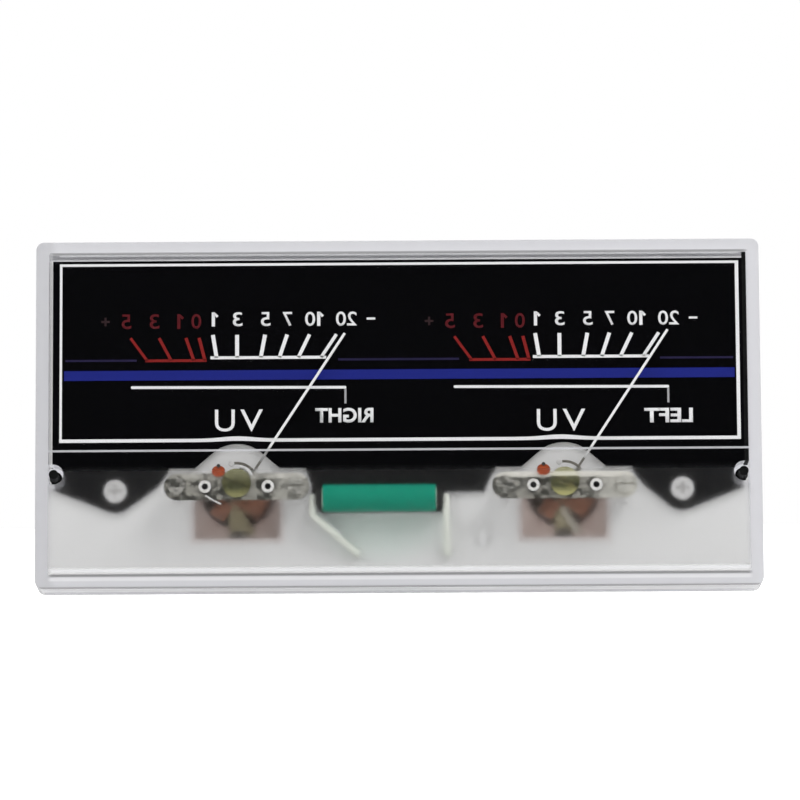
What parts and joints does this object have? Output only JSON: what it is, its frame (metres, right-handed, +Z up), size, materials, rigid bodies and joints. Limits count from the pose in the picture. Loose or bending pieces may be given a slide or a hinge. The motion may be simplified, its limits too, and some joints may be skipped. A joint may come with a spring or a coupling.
{
  "type": "dual analog vu meter",
  "caption": "Flat two-channel level meter with a clear box cover, black dial, moving-coil needles and a lamp between them, on a white plastic base.",
  "frame": {"origin": "middle of the bounding box's bottom, under the lower edge of the clear cover", "axes": "+X to the right along the width as seen from the front, +Y from the front pane to the rear, +Z up"},
  "size_m": [0.12, 0.035, 0.058],
  "materials": {
    "clear_plastic": "clear, polished above and matt below the step line",
    "white_plastic": "moulded",
    "black_print": "matt black with printed scales",
    "green_sleeve": "smooth",
    "bulb_glass": "clear",
    "black_plastic": "moulded",
    "white_insulation": "smooth",
    "red_insulation": "smooth",
    "tinned_metal": "tinned",
    "screw_steel": "bright",
    "bright_rivet": "bright",
    "plated_iron": "satin, copper-pink plating",
    "magnet": "dark",
    "bridge_metal": "mottled zinc",
    "brass": "satin",
    "copper": "copper coloured",
    "olive_cap": "glossy olive",
    "lever_metal": "dull",
    "bronze_spring": "thin strip",
    "bare_aluminium": "satin",
    "dark_root": "blackened",
    "white_needle": "white paint"
  },
  "bodies": {
    "meter": {"front_cover": "clear_plastic", "base_body": "white_plastic", "rear_cover": "white_plastic", "rear_cover_screws": "screw_steel", "dial_plate": "black_print", "dial_screws": "screw_steel", "lamp_bulb": "bulb_glass", "lamp_sleeve": "green_sleeve", "lamp_holders": "black_plastic", "lamp_leads": "white_insulation", "lamp_tags": "tinned_metal", "movement_tags": "tinned_metal", "spring_tabs": "copper", "bridge_screws": "screw_steel", "bridge_rivets": "bright_rivet", "bracket_screws": "screw_steel", "yoke_screws": "screw_steel", "rear_spacers": "brass", "rear_bridge_screws": "screw_steel", "yoke_left": "plated_iron", "core_magnet_left": "magnet", "core_bracket_left": "brass", "front_bridge_left": "bridge_metal", "front_jewel_screw_left": "olive_cap", "front_hairspring_left": "bronze_spring", "rear_hairspring_left": "bronze_spring", "rear_bridge_left": "bridge_metal", "rear_jewel_screw_left": "brass", "movement_leads_left": "red_insulation", "yoke_right": "plated_iron", "core_magnet_right": "magnet", "core_bracket_right": "brass", "front_bridge_right": "bridge_metal", "front_jewel_screw_right": "olive_cap", "front_hairspring_right": "bronze_spring", "rear_hairspring_right": "bronze_spring", "rear_bridge_right": "bridge_metal", "rear_jewel_screw_right": "brass", "movement_leads_right": "red_insulation"},
    "needle_left": {"needle_left": "white_needle", "needle_root_left": "dark_root", "balance_weight_left": "copper", "pivot_staffs_left": "screw_steel", "coil_former_left": "bare_aluminium", "coil_winding_left": "copper"},
    "zero_lever_left": {"zero_lever_left": "lever_metal"},
    "needle_right": {"needle_right": "white_needle", "needle_root_right": "dark_root", "balance_weight_right": "copper", "pivot_staffs_right": "screw_steel", "coil_former_right": "bare_aluminium", "coil_winding_right": "copper"},
    "zero_lever_right": {"zero_lever_right": "lever_metal"}
  },
  "joints": [
    {"name": "needle_swing_left", "type": "hinge", "parent": "meter", "child": "needle_left", "pos_m": [-0.02685, -0.0117, 0.0176], "axis": [0, -1, 0], "range_deg": [0, 71], "stiffness_Nm_per_rad": 0.00004, "springref_deg": -8.59},
    {"name": "zero_lever_turn_left", "type": "hinge", "parent": "meter", "child": "zero_lever_left", "pos_m": [-0.02685, -0.01407, 0.0176], "axis": [0, -1, 0], "range_deg": [-8, 8]},
    {"name": "needle_swing_right", "type": "hinge", "parent": "meter", "child": "needle_right", "pos_m": [0.02745, -0.0117, 0.0176], "axis": [0, -1, 0], "range_deg": [0, 71], "stiffness_Nm_per_rad": 0.00004, "springref_deg": -8.59},
    {"name": "zero_lever_turn_right", "type": "hinge", "parent": "meter", "child": "zero_lever_right", "pos_m": [0.02745, -0.01407, 0.0176], "axis": [0, -1, 0], "range_deg": [-8, 8]}
  ]
}
